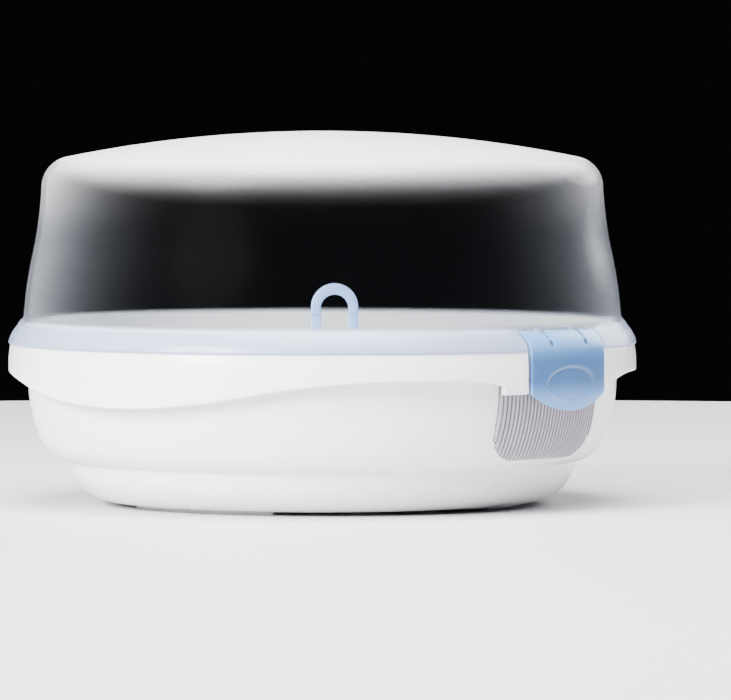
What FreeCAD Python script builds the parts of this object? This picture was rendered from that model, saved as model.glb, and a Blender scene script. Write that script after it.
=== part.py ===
"""Microwave steam steriliser for baby bottles, as a parametric document.

A round white bowl on three feet carries a loose rack. A see-through domed lid sits on the bowl and
is held by a hinged clip on each side. A pair of tongs stands in a socket in the rack.

Frame: millimetres, +Z up, origin under the middle of the feet. The clips lie on the X axis.
"""
import FreeCAD, Part
import math
import os
import re
import Sketcher

SIZES = [
    # lid
    ("lid_height", 166.0), ("lid_wall", 2.0), ("crown_lean", 10.4), ("crown_flat", 3.0),
    ("corner_radius", 111.2), ("corner_height", 141.0), ("corner_round", 13.8), ("top_lean", 3.0),
    ("waist_radius", 128.9), ("waist_height", 112.0), ("waist_lean", 12.5), ("hollow_round", 181.0),
    ("belly_round", 195.0), ("wall_foot_radius", 133.1), ("wall_foot_height", 83.4),
    ("wall_foot_lean", 4.0), ("crease_radius", 135.5), ("crease_height", 80.4),
    ("brim_radius", 139.9), ("brim_edge_height", 72.3), ("brim_round", 16.0), ("brim_edge_cut", 0.7),
    ("seat_height", 71.4), ("plug_radius", 130.8), ("plug_bottom", 67.5), ("brim_root_height", 80.9),
    ("crease_inset", 1.6), ("crease_drop", 1.4),
    # clip pocket in the brim, and the lugs that carry the clip
    ("pocket_half_width", 26.3), ("pocket_ceiling", 81.4), ("pocket_bite", 0.1),
    ("lug_offset", 12.0), ("lug_thickness", 2.4), ("lug_round", 2.3), ("lug_root", 1.0),
    ("lug_rise", 0.6), ("lug_nose_turn", 45.0), ("lug_heel_turn", 80.0), ("bore_length", 28.8),
    ("hinge_radius", 136.6), ("hinge_height", 76.2), ("pin_radius", 1.3), ("pin_clearance", 0.05),
    # clip
    ("clip_half_width", 25.5), ("clip_face_radius", 141.0), ("clip_thickness", 2.0),
    ("clip_skin", 0.7), ("clip_side_bottom", 53.2), ("clip_tip_height", 45.4),
    ("clip_skin_low", 46.5), ("clip_skin_high", 67.0), ("oval_height", 57.0),
    ("oval_half_width", 17.7), ("oval_half_height", 8.1), ("slot_width", 3.0),
    ("slot_bottom", 73.7), ("boss_round", 1.7), ("boss_length", 4.5), ("bead_depth", 0.9),
    ("bead_height", 66.5), ("bead_half", 1.6), ("clip_sweep", 24.0), ("clip_top_inset", 2.9),
    ("clip_top_rise", 4.2), ("clip_bend_round", 12.0), ("clip_bend_inset", 0.4),
    ("clip_bend_height", 72.0), ("clip_tip_inset", 1.0), ("clip_tip_spare", 0.5),
    ("clip_tongue_inset", 0.6), ("clip_back_height", 52.5), ("clip_tip_back", 0.8),
    ("clip_under_round", 10.0), ("clip_under_height", 71.8), ("clip_under_inset", 4.1),
    ("clip_under_rise", 2.7),
    # bowl
    ("bowl_wall", 2.2), ("foot_height", 1.6), ("floor_radius", 93.0), ("floor_round", 20.0),
    ("step_height", 19.8), ("step_outer_radius", 116.0), ("step_rise", 0.3), ("step_lean", 70.0),
    ("floor_round_cut", 0.1), ("floor_round_ease", 0.2), ("shoulder_round", 17.2),
    ("shoulder_radius", 125.9), ("shoulder_height", 30.0), ("shoulder_lean", 22.0),
    ("side_round", 63.8), ("side_radius", 131.0), ("side_height", 54.0),
    ("collar_radius", 131.3), ("collar_low", 65.5), ("collar_foot_radius", 131.7),
    ("collar_foot_height", 60.5), ("collar_blend", 4.0), ("ledge_height", 22.2),
    ("ledge_outer_radius", 115.25), ("shelf_thickness", 2.2), ("shelf_notch_radius", 137.5),
    # skirt
    ("rim_top_radius", 139.2), ("rim_widest", 139.8), ("rim_widest_height", 63.0),
    ("rim_edge_round", 1.0), ("rim_side_round", 48.0), ("rim_taper", 0.2), ("skirt_wall", 2.0),
    ("wave_low", 47.1), ("wave_high", 60.0), ("wave_bend", 66.0), ("wave_reach", 119.0),
    ("side_wave_reach", 76.0), ("side_wave_start", 64.0), ("side_wave_end", 53.2),
    ("side_wave_round", 110.0), ("cheek_end", 38.5), ("cheek_outer", 138.9), ("cheek_inner", 136.2),
    # grip pads
    ("grip_proud", 1.3), ("grip_base", 0.5), ("grip_half_width", 34.0), ("grip_corner", 15.0),
    ("grip_bottom", 24.5), ("grip_sweep", 36.0), ("grip_groove_angle", 0.45),
    ("grip_groove_pitch", 0.96), ("grip_groove_count", 33.0),
    # feet
    ("pad_inner_radius", 74.0), ("pad_outer_radius", 90.0), ("pad_angle", 52.0),
    # rack, in its own turned frame
    ("rack_turn", 40.0), ("plate_low", 30.0), ("plate_thickness", 2.0), ("rack_leg_outer", 114.0),
    ("rack_leg_thickness", 2.5), ("rack_rim_foot", 117.5), ("rack_rim_radius", 121.5),
    ("rack_rim_height", 44.0), ("rack_lip", 2.5), ("rack_lip_thickness", 1.6),
    ("station_radius", 74.0), ("station_hole", 12.5), ("fin_inner", 14.5), ("fin_length", 6.5),
    ("fin_thickness", 2.2), ("fin_top", 62.0), ("outer_slot_low", 100.0), ("outer_slot_high", 110.0),
    ("inner_slot_low", 30.0), ("inner_slot_high", 50.0), ("steam_slot_width", 4.4),
    ("inner_slot_turn", 30.0), ("socket_floor_gap", 0.3), ("drain_share", 0.6),
    ("socket_wall", 1.8), ("socket_gap", 0.8), ("socket_top", 58.0), ("socket_bottom", 9.0),
    # tongs
    ("tongs_offset", 5.4), ("tongs_half_width", 10.5), ("tongs_inner_half", 6.1),
    ("tongs_top", 98.0), ("tongs_crown", 4.8), ("tongs_flex_height", 84.0), ("tongs_depth", 12.0),
    ("tongs_tip", 12.0), ("jaw_half_gap", 3.6), ("jaw_top", 26.0), ("jaw_blend", 4.0),
    ("jaw_chamfer", 3.0), ("tooth_pitch", 3.0), ("tooth_depth", 0.7),
    # how far cutting outlines run past the material, and joined shapes into each other
    ("spare", 5.0), ("overlap", 0.5),
]

CLIP_TURNS = {"right": "0", "left": "180"}
FOOT_TURNS = {"front": "-90", "rear_right": "30", "rear_left": "150"}
BOTH_SIDES = 2
STATIONS = 6
OUTER_SLOTS = 30
TEETH = 4
FUNCTIONS = ("cos", "sin", "tan", "atan", "sqrt")

doc = FreeCAD.newDocument("bottle_steriliser")
sheet = doc.addObject("Spreadsheet::Sheet", "Sizes")


def fill_sheet():
    """One row for each driving dimension: its value in column A, its name in column B."""
    for row, (alias, value) in enumerate(SIZES, start=1):
        sheet.set(f"A{row}", str(value))
        sheet.set(f"B{row}", alias)
        sheet.setAlias(f"A{row}", alias)
    doc.recompute()


def bound(words):
    """The expression with every dimension's name pointed at the sheet."""
    def point(match):
        word = match.group(0)
        return word if word in FUNCTIONS else f"Sizes.{word}"
    return re.sub(r"[a-z_]+", point, str(words))


def size(words):
    """The value of an expression in the sheet's names."""
    value = sheet.evalExpression(bound(words))
    return float(getattr(value, "Value", value))


def bind(thing, prop, words):
    """Bind a property of a document object to an expression in the sheet's names."""
    thing.setExpression(prop, bound(words))


def plane_of(body, role):
    """One of the body's own origin planes or axes."""
    return next(f for f in body.Origin.OriginFeatures if f.Role == role)


def new_sketch(body, name, plane="XZ_Plane", lift=None):
    """A sketch flat on one of the body's planes, lifted along the plane's normal by an expression."""
    sketch = body.newObject("Sketcher::SketchObject", name)
    sketch.AttachmentSupport = [(plane_of(body, plane), "")]
    sketch.MapMode = "FlatFace"
    if lift is not None:
        bind(sketch, "AttachmentOffset.Base.z", lift)
    return sketch


def arc_between(start, end, radius, side):
    """The short arc of a radius between two points. side 1 bulges to the left of the way, -1 right."""
    chord = end - start
    left = FreeCAD.Vector(-chord.y, chord.x, 0).normalize()
    rise = radius - math.sqrt(radius * radius - chord.Length * chord.Length / 4)
    return Part.Arc(start, (start + end) * 0.5 + left * (rise * side), end)


def start_of(sketch, edge, point):
    """Which end of an edge, 1 or 2, lies on a point: an arc may be stored the other way round."""
    return 1 if sketch.getPoint(edge, 1).distanceToPoint(point) < 1e-6 else 2


def hold_point(sketch, edge, end, corner):
    """Hold one end of an edge at the corner's two expressions."""
    for kind, words, axis in (("DistanceX", corner[0], -2), ("DistanceY", corner[1], -1)):
        value = size(words)
        if abs(value) < 1e-9:
            sketch.addConstraint(Sketcher.Constraint("PointOnObject", edge, end, axis))
        elif value > 0:
            index = sketch.addConstraint(Sketcher.Constraint(kind, -1, 1, edge, end, value))
            bind(sketch, f"Constraints[{index}]", words)
        else:
            index = sketch.addConstraint(Sketcher.Constraint(kind, edge, end, -1, 1, -value))
            bind(sketch, f"Constraints[{index}]", f"-({words})")


def draw_outline(sketch, path):
    """Draw a closed outline. Each corner is (across, up), and the edge that leaves it is straight,
    or an arc when the corner is (across, up, radius, side)."""
    points = [FreeCAD.Vector(size(corner[0]), size(corner[1]), 0) for corner in path]
    edges = []
    for i, corner in enumerate(path):
        start, end = points[i], points[(i + 1) % len(path)]
        curve = Part.LineSegment(start, end)
        if len(corner) > 2:
            curve = arc_between(start, end, size(corner[2]), corner[3])
        edges.append(sketch.addGeometry(curve, False))
    starts = [start_of(sketch, edge, points[i]) for i, edge in enumerate(edges)]
    for i, edge in enumerate(edges):
        after = (i + 1) % len(edges)
        ends = (edge, 3 - starts[i], edges[after], starts[after])
        sketch.addConstraint(Sketcher.Constraint("Coincident", *ends))
    for i, corner in enumerate(path):
        hold_point(sketch, edges[i], starts[i], corner)
        if len(corner) > 2:
            index = sketch.addConstraint(Sketcher.Constraint("Radius", edges[i], size(corner[2])))
            bind(sketch, f"Constraints[{index}]", corner[2])


def draw_circle(sketch, across, up, radius):
    """A circle whose centre and radius are bound to expressions."""
    centre = FreeCAD.Vector(size(across), size(up), 0)
    edge = sketch.addGeometry(Part.Circle(centre, FreeCAD.Vector(0, 0, 1), size(radius)), False)
    hold_point(sketch, edge, 3, (across, up))
    index = sketch.addConstraint(Sketcher.Constraint("Radius", edge, size(radius)))
    bind(sketch, f"Constraints[{index}]", radius)


def new_body(label, turn=None):
    """A body named for its node, turned about the vertical axis by an expression."""
    body = doc.addObject("PartDesign::Body", label)
    body.Label = label
    if turn is not None:
        bind(body, "Placement.Rotation.Angle", turn)
        body.Placement.Rotation.Axis = FreeCAD.Vector(0, 0, 1)
    return body


def add_feature(body, kind, sketch, name):
    """A PartDesign feature on a sketch."""
    feature = body.newObject(f"PartDesign::{kind}", name)
    feature.Profile = sketch
    return feature


def revolve(body, name, path, angle="360", kind="Revolution"):
    """Turn an outline in the XZ plane about the vertical axis, evenly to both sides of it."""
    sketch = new_sketch(body, f"{name}_outline")
    draw_outline(sketch, path)
    feature = add_feature(body, kind, sketch, name)
    feature.ReferenceAxis = (sketch, ["V_Axis"])
    bind(feature, "Angle", angle)
    if size(angle) < 360:
        feature.Midplane = True
    doc.recompute()
    return feature


def pad(body, name, paths, plane, length, lift=None, symmetric=False, down=False):
    """Raise closed outlines to a length."""
    sketch = new_sketch(body, f"{name}_outline", plane, lift)
    for path in paths:
        draw_outline(sketch, path)
    feature = add_feature(body, "Pad", sketch, name)
    bind(feature, "Length", length)
    feature.Midplane = symmetric
    feature.Reversed = down
    doc.recompute()
    return feature


def pocket(body, name, paths, plane, lift=None, both_ways=False, circles=(), up=False, length=None):
    """Cut closed outlines right through, or to a length. Fails if nothing is cut."""
    before = body.Tip.Shape.Volume
    sketch = new_sketch(body, f"{name}_outline", plane, lift)
    for path in paths:
        draw_outline(sketch, path)
    for circle in circles:
        draw_circle(sketch, *circle)
    feature = add_feature(body, "Pocket", sketch, name)
    if length is None:
        feature.Type = "ThroughAll"
    else:
        bind(feature, "Length", length)
    feature.Midplane = both_ways
    feature.Reversed = up
    doc.recompute()
    if before - feature.Shape.Volume < 1e-3:
        raise RuntimeError(f"{body.Label}: {name} cuts nothing")
    return feature


def polar(body, name, originals, count, angle="360"):
    """Repeat features about the vertical axis."""
    pattern = body.newObject("PartDesign::PolarPattern", name)
    pattern.Originals = originals
    pattern.Axis = (plane_of(body, "Z_Axis"), [""])
    bind(pattern, "Angle", angle)
    pattern.Occurrences = count
    body.Tip = pattern
    doc.recompute()
    return pattern


def bowl_outer(offset="0"):
    """The bowl's outside from the step up to the collar, moved outwards by an expression."""
    lean = f"({offset})*cos(shoulder_lean)"
    drop = f"({offset})*sin(shoulder_lean)"
    return [
        (f"step_outer_radius + ({offset})*cos(step_lean)",
         f"step_height + step_rise - ({offset})*sin(step_lean)", f"shoulder_round + ({offset})", -1),
        (f"shoulder_radius + {lean}", f"shoulder_height - {drop}", f"side_round + ({offset})", -1),
        (f"side_radius + ({offset})", "side_height"),
    ]


def make_base():
    """The bowl, its collar, the shelf that the lid sits on and the waved skirt that hangs from it."""
    body = new_body("base")
    revolve(body, "rim", [
        ("collar_radius", "seat_height"),
        ("rim_top_radius - rim_edge_round", "seat_height", "rim_edge_round", 1),
        ("rim_top_radius", "seat_height - rim_edge_round", "rim_side_round", 1),
        ("rim_widest", "rim_widest_height"),
        ("rim_widest - rim_taper", "wave_low - spare"),
        ("rim_widest - skirt_wall - rim_taper", "wave_low - spare"),
        ("rim_widest - skirt_wall", "rim_widest_height"),
        ("rim_top_radius - skirt_wall", "seat_height - shelf_thickness"),
        ("collar_radius", "seat_height - shelf_thickness"),
    ])
    turn = "(2*atan((wave_high - wave_low)/wave_reach))"
    low_round = f"wave_bend/sin({turn})"
    high_round = f"(wave_reach - wave_bend)/sin({turn})"
    bend_height = f"wave_low + ({low_round})*(1 - cos({turn}))"
    below = "wave_low - 4*spare"
    pocket(body, "front_and_back_wave", [[
        ("-wave_reach", "wave_high", high_round, 1),
        ("-wave_bend", bend_height, low_round, -1),
        ("wave_bend", bend_height, high_round, 1),
        ("wave_reach", "wave_high"),
        ("wave_reach", below),
        ("-wave_reach", below),
    ]], "XZ_Plane", both_ways=True)
    pocket(body, "side_wave", [[
        ("-side_wave_reach", "wave_high"),
        ("-side_wave_start", "wave_high", "side_wave_round", 1),
        ("-pocket_half_width", "side_wave_end"),
        ("pocket_half_width", "side_wave_end", "side_wave_round", 1),
        ("side_wave_start", "wave_high"),
        ("side_wave_reach", "wave_high"),
        ("side_wave_reach", below),
        ("-side_wave_reach", below),
    ]], "YZ_Plane", both_ways=True)
    notch_reach = "sqrt(shelf_notch_radius^2 - pocket_half_width^2)"
    notch = pocket(body, "clip_notch", [[
        (notch_reach, "-pocket_half_width", "shelf_notch_radius", -1),
        (notch_reach, "pocket_half_width"),
        ("rim_widest + spare", "pocket_half_width"),
        ("rim_widest + spare", "-pocket_half_width"),
    ]], "XY_Plane", lift="seat_height + spare")
    polar(body, "clip_notches", [notch], BOTH_SIDES)
    pad(body, "cheeks", [cheek(x, y) for x in (1, -1) for y in (1, -1)], "XY_Plane",
        "seat_height - side_wave_end - shelf_thickness/2", lift="side_wave_end")
    step = "step_height"
    inner_floor = "floor_radius + floor_round - bowl_wall"
    revolve(body, "bowl", [
        ("0", "foot_height"),
        ("floor_radius", "foot_height", "floor_round", -1),
        ("floor_radius + floor_round - floor_round_cut", step),
        *bowl_outer(),
        ("collar_foot_radius", "collar_foot_height"),
        ("collar_radius + bowl_wall", "collar_low"),
        ("collar_radius + bowl_wall", "seat_height - shelf_thickness/2"),
        ("collar_radius", "seat_height - shelf_thickness/2"),
        ("collar_radius", "collar_low"),
        ("side_radius - bowl_wall", "side_height + collar_blend"),
        ("side_radius - bowl_wall", "side_height", "side_round - bowl_wall", 1),
        ("shoulder_radius - bowl_wall*cos(shoulder_lean)",
         "shoulder_height + bowl_wall*sin(shoulder_lean)", "shoulder_round - bowl_wall", 1),
        ("ledge_outer_radius", "ledge_height"),
        (inner_floor, "ledge_height"),
        (inner_floor, step, "floor_round - bowl_wall + floor_round_ease", 1),
        ("floor_radius", "foot_height + bowl_wall"),
        ("0", "foot_height + bowl_wall"),
    ])
    return body


def cheek(x_sign, y_sign):
    """The plan of one thick end of the skirt, beside a clip."""
    def across(radius, edge):
        return f"{x_sign}*sqrt({radius}^2 - {edge}^2)"
    low, high = f"{y_sign}*pocket_half_width", f"{y_sign}*cheek_end"
    turn = x_sign * y_sign
    return [
        (across("cheek_inner", "pocket_half_width"), low),
        (across("cheek_outer", "pocket_half_width"), low, "cheek_outer", -turn),
        (across("cheek_outer", "cheek_end"), high),
        (across("cheek_inner", "cheek_end"), high, "cheek_inner", turn),
    ]


def make_foot(label, turn):
    """A low pad under the bowl, one of three."""
    body = new_body(label, turn)
    revolve(body, "pad", [
        ("pad_inner_radius", "0"),
        ("pad_outer_radius", "0"),
        ("pad_outer_radius", "foot_height"),
        ("pad_inner_radius", "foot_height"),
    ], angle="pad_angle")
    return body


def make_grip(label, turn):
    """A ribbed finger pad that lies on the bowl under a clip."""
    body = new_body(label, turn)
    proud = bowl_outer("grip_proud")
    floor = bowl_outer("grip_base")
    top = "collar_foot_height"
    revolve(body, "sheet", [
        *bowl_outer(),
        ("collar_foot_radius", top),
        ("collar_foot_radius + grip_proud", top),
        (*proud[2], "side_round + grip_proud", 1),
        (*proud[1][:2], "shoulder_round + grip_proud", 1),
        proud[0][:2],
    ], angle="grip_sweep")
    edge = "grip_half_width"
    low = "grip_bottom"
    far = f"{edge} + 4*spare"
    pocket(body, "outline", [[
        (f"-({far})", f"{top} + spare"),
        (f"-{edge}", f"{top} + spare"),
        (f"-{edge}", f"{low} + grip_corner", "grip_corner", -1),
        (f"-{edge} + grip_corner", low),
        (f"{edge} - grip_corner", low, "grip_corner", -1),
        (edge, f"{low} + grip_corner"),
        (edge, f"{top} + spare"),
        (far, f"{top} + spare"),
        (far, "step_height - 2*spare"),
        (f"-({far})", "step_height - 2*spare"),
    ]], "YZ_Plane", up=True)
    groove = revolve(body, "groove", [
        *floor,
        ("collar_foot_radius + grip_base", top),
        ("collar_foot_radius + grip_base", f"{top} + spare"),
        ("side_radius + 2*spare", f"{top} + spare"),
        ("side_radius + 2*spare", "step_height - 2*spare"),
        ("step_outer_radius", "step_height - 2*spare"),
    ], angle="grip_groove_angle", kind="Groove")
    half = "grip_groove_pitch*(grip_groove_count - 1)/2"
    one_way = (int(size("grip_groove_count")) + 1) // 2
    for name, back in (("grooves_one_way", False), ("grooves_other_way", True)):
        pattern = polar(body, name, [groove], one_way, half)
        pattern.Reversed = back
        doc.recompute()
    return body


def wall_point(radius, height, lean, depth):
    """A point a depth inside the dome's wall, where the wall leans by an angle from upright."""
    return f"{radius} - ({depth})*cos({lean})", f"{height} - ({depth})*sin({lean})"


def corner_point(angle, depth):
    """A point on the dome's round top corner, a depth inside it."""
    reach = f"(corner_round - ({depth}))"
    return f"corner_radius + {reach}*cos({angle})", f"corner_height + {reach}*sin({angle})"


def crown_round(top, edge):
    """The radius of a sphere about the axis that joins the flat at the top to a point at its edge."""
    fall = f"(({top}) - ({edge[1]}))"
    rise = f"((({edge[0]})^2 - crown_flat^2 + {fall}^2)/(2*{fall}))"
    return f"sqrt(crown_flat^2 + {rise}^2)"


def make_lid():
    """The domed lid with its flared brim, the plug that seats in the collar, and the clips' lugs."""
    body = new_body("lid")
    wall = "lid_wall"
    crown = "(90 - crown_lean)"
    outer_crown = corner_point(crown, "0")
    inner_crown = corner_point(crown, wall)
    inner_foot = wall_point("wall_foot_radius", "wall_foot_height", "wall_foot_lean", wall)
    inner_waist = wall_point("waist_radius", "waist_height", "waist_lean", wall)
    revolve(body, "shell", [
        ("0", "lid_height"),
        ("crown_flat", "lid_height", crown_round("lid_height", outer_crown), 1),
        (*outer_crown, "corner_round", 1),
        (*corner_point("top_lean", "0"), "hollow_round", -1),
        ("waist_radius", "waist_height", "belly_round", 1),
        ("wall_foot_radius", "wall_foot_height"),
        ("crease_radius", "crease_height", "brim_round", 1),
        ("brim_radius", "brim_edge_height"),
        ("brim_radius - brim_edge_cut", "seat_height"),
        ("brim_radius - lid_wall", "seat_height", "brim_round - lid_wall", -1),
        ("crease_radius - crease_inset", "crease_height - crease_drop"),
        ("plug_radius", "brim_root_height"),
        ("plug_radius", "plug_bottom"),
        ("plug_radius - lid_wall", "plug_bottom"),
        ("plug_radius - lid_wall", "wall_foot_height - lid_wall"),
        (*inner_foot, "belly_round - lid_wall", -1),
        (*inner_waist, "hollow_round + lid_wall", 1),
        (*corner_point("top_lean", wall), "corner_round - lid_wall", -1),
        (*inner_crown, crown_round("lid_height - lid_wall", inner_crown), -1),
        ("crown_flat", "lid_height - lid_wall"),
        ("0", "lid_height - lid_wall"),
    ])
    floor = "(plug_radius - pocket_bite)"
    reach = f"sqrt({floor}^2 - pocket_half_width^2)"
    clip_pocket = pocket(body, "clip_pocket", [[
        (reach, "-pocket_half_width", floor, -1),
        (reach, "pocket_half_width"),
        ("brim_radius + spare", "pocket_half_width"),
        ("brim_radius + spare", "-pocket_half_width"),
    ]], "XY_Plane", lift="pocket_ceiling")
    nose = "hinge_radius + lug_round*cos(lug_nose_turn)"
    heel = "hinge_height - lug_round*sin(lug_heel_turn)"
    lug = [
        ("plug_radius - lug_root", "pocket_ceiling + lug_rise"),
        ("hinge_radius - clip_top_inset", "pocket_ceiling + lug_rise"),
        (nose, "hinge_height + lug_round*sin(lug_nose_turn)", "lug_round", 1),
        (nose, "hinge_height - lug_round*sin(lug_nose_turn)", "lug_round", 1),
        ("hinge_radius - lug_round*cos(lug_heel_turn)", heel),
        ("plug_radius - lug_root", heel),
    ]
    lugs = [
        pad(body, f"{side}_lug", [lug], "XZ_Plane", "lug_thickness", lift=f"{sign}*lug_offset",
            symmetric=True)
        for side, sign in (("near", 1), ("far", -1))
    ]
    bore = pocket(body, "lug_bore", [], "XZ_Plane", both_ways=True, length="bore_length",
                  circles=[("hinge_radius", "hinge_height", "pin_radius + pin_clearance")])
    polar(body, "both_sides", [clip_pocket, *lugs, bore], BOTH_SIDES)
    return body


def make_clip(label, turn):
    """A clip: a bowed plate with a thumb oval, hinge bosses with pins, and a snap bead inside."""
    body = new_body(label, turn)
    face = "clip_face_radius"
    back = "(clip_face_radius - clip_thickness)"
    revolve(body, "face_skin", [
        (f"{face} - clip_skin", "clip_skin_low"),
        (face, "clip_skin_low"),
        (face, "clip_skin_high"),
        (f"{face} - clip_skin", "clip_skin_high"),
    ], angle="clip_sweep")
    oval_round = "((oval_half_width^2 + oval_half_height^2)/(2*oval_half_height))"
    pocket(body, "thumb_oval", [[
        ("-oval_half_width", "oval_height", oval_round, 1),
        ("oval_half_width", "oval_height", oval_round, 1),
    ]], "YZ_Plane", up=True)
    tip = "clip_tip_height - clip_tip_spare"
    revolve(body, "plate", [
        ("hinge_radius - clip_top_inset", "hinge_height + clip_top_rise", "clip_bend_round", 1),
        (f"{face} - clip_bend_inset", "clip_bend_height"),
        (face, "clip_skin_high"),
        (f"{face} - clip_skin", "clip_skin_high"),
        (f"{face} - clip_skin", "clip_skin_low"),
        (f"{face} - clip_tongue_inset", "clip_skin_low"),
        (f"{face} - clip_tip_inset", tip),
        (f"{back} - clip_tip_back", tip),
        (back, "clip_back_height"),
        (back, "bead_height - bead_half"),
        (f"{back} - bead_depth", "bead_height"),
        (back, "bead_height + bead_half"),
        (f"{back} - clip_bend_inset", "clip_under_height", "clip_under_round", -1),
        ("hinge_radius - clip_under_inset", "hinge_height + clip_under_rise"),
    ], angle="clip_sweep")
    half = "clip_half_width"
    far = f"{half} + 4*spare"
    drop = "(clip_side_bottom - clip_tip_height)"
    tongue_round = f"(({half}^2 + {drop}^2)/(2*{drop}))"
    pocket(body, "tongue_outline", [[
        (f"-({far})", "lid_height"),
        (f"-{half}", "lid_height"),
        (f"-{half}", "clip_side_bottom", tongue_round, -1),
        (half, "clip_side_bottom"),
        (half, "lid_height"),
        (far, "lid_height"),
        (far, "0"),
        (f"-({far})", "0"),
    ]], "YZ_Plane", up=True)
    bosses = [
        (f"{sign}*lug_offset + {edge}*(slot_width/2)",
         f"{sign}*lug_offset + {edge}*(slot_width/2 + boss_length)")
        for sign in (1, -1) for edge in (1, -1)
    ]
    for number, (start, end) in enumerate(bosses):
        pad_round(body, f"boss_{number}", "boss_round", start, end)
    slots = [[
        (f"{sign}*lug_offset - slot_width/2", "slot_bottom"),
        (f"{sign}*lug_offset + slot_width/2", "slot_bottom"),
        (f"{sign}*lug_offset + slot_width/2", "lid_height"),
        (f"{sign}*lug_offset - slot_width/2", "lid_height"),
    ] for sign in (1, -1)]
    pocket(body, "slots", slots, "YZ_Plane", up=True)
    for side, sign in (("near", 1), ("far", -1)):
        pad_round(body, f"{side}_pin", "pin_radius", f"{sign}*lug_offset - slot_width/2 - overlap",
                  f"{sign}*lug_offset + slot_width/2 + overlap")
    return body


def pad_round(body, name, radius, start, end):
    """A round bar on the hinge line between two places along the Y axis."""
    low, high = sorted((start, end), key=size)
    sketch = new_sketch(body, f"{name}_outline", "XZ_Plane", f"-({high})")
    draw_circle(sketch, "hinge_radius", "hinge_height", radius)
    feature = add_feature(body, "Pad", sketch, name)
    bind(feature, "Length", f"({high}) - ({low})")
    doc.recompute()
    return feature


def rectangle(centre_across, centre_up, half_across, half_up):
    """A rectangle about a centre, as an outline."""
    return [
        (f"{centre_across} - ({half_across})", f"{centre_up} - ({half_up})"),
        (f"{centre_across} + ({half_across})", f"{centre_up} - ({half_up})"),
        (f"{centre_across} + ({half_across})", f"{centre_up} + ({half_up})"),
        (f"{centre_across} - ({half_across})", f"{centre_up} + ({half_up})"),
    ]


def make_rack():
    """The loose rack: a slotted plate on a ring, six bottle stations and the socket for the tongs."""
    body = new_body("rack", "rack_turn")
    plate_top = "(plate_low + plate_thickness)"
    revolve(body, "tray", [
        ("0", "plate_low"),
        ("rack_leg_outer - rack_leg_thickness", "plate_low"),
        ("rack_leg_outer - rack_leg_thickness", "ledge_height"),
        ("rack_leg_outer", "ledge_height"),
        ("rack_leg_outer", "plate_low"),
        ("rack_rim_foot", "plate_low"),
        ("rack_rim_radius", "rack_rim_height"),
        ("rack_rim_radius + rack_lip", "rack_rim_height"),
        ("rack_rim_radius + rack_lip", "rack_rim_height + rack_lip_thickness"),
        ("rack_rim_radius - plate_thickness", "rack_rim_height + rack_lip_thickness"),
        ("rack_rim_foot - plate_thickness", plate_top),
        ("0", plate_top),
    ])
    fins = []
    for x, y in ((1, 0), (-1, 0), (0, 1), (0, -1)):
        reach = "(fin_inner + fin_length/2)"
        along, wide = ("fin_length/2", "fin_thickness/2") if x else ("fin_thickness/2", "fin_length/2")
        fins.append(rectangle(f"station_radius + {x}*{reach}", f"{y}*{reach}", along, wide))
    fin = pad(body, "fins", fins, "XY_Plane", f"fin_top - {plate_top} + overlap",
              lift=f"{plate_top} - overlap")
    polar(body, "all_fins", [fin], STATIONS)
    above = f"{plate_top} + spare"
    through = "plate_thickness + 2*spare"
    hole = pocket(body, "station_hole", [], "XY_Plane", lift=above,
                  circles=[("station_radius", "0", "station_hole")], length=through)
    polar(body, "station_holes", [hole], STATIONS)
    outer = rectangle("(outer_slot_low + outer_slot_high)/2", "0",
                      "(outer_slot_high - outer_slot_low)/2", "steam_slot_width/2")
    outer_slot = pocket(body, "outer_slot", [outer], "XY_Plane", lift=above, length=through)
    polar(body, "outer_slots", [outer_slot], OUTER_SLOTS)
    middle = "(inner_slot_low + inner_slot_high)/2"
    reach = "(inner_slot_high - inner_slot_low)/2"
    turn_cos, turn_sin = "cos(inner_slot_turn)", "sin(inner_slot_turn)"
    inner = [
        (f"({middle} + {u}*{reach})*{turn_cos} - {v}*steam_slot_width/2*{turn_sin}",
         f"({middle} + {u}*{reach})*{turn_sin} + {v}*steam_slot_width/2*{turn_cos}")
        for u, v in ((-1, -1), (1, -1), (1, 1), (-1, 1))
    ]
    inner_slot = pocket(body, "inner_slot", [inner], "XY_Plane", lift=above, length=through)
    polar(body, "inner_slots", [inner_slot], STATIONS)
    half_across = "tongs_half_width + socket_gap"
    half_deep = "tongs_depth/2 + socket_gap"
    block = rectangle("tongs_offset", "0", f"{half_across} + socket_wall", f"{half_deep} + socket_wall")
    pad(body, "socket", [block], "XY_Plane", "socket_top - socket_bottom", lift="socket_bottom")
    well = rectangle("tongs_offset", "0", half_across, half_deep)
    pocket(body, "socket_well", [well], "XY_Plane", lift="socket_top",
           length="socket_top - tongs_tip + socket_floor_gap")
    drain = rectangle("tongs_offset", "0", f"({half_across})*drain_share", "steam_slot_width/2")
    pocket(body, "socket_drain", [drain], "XY_Plane", lift="tongs_tip")
    return body


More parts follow.
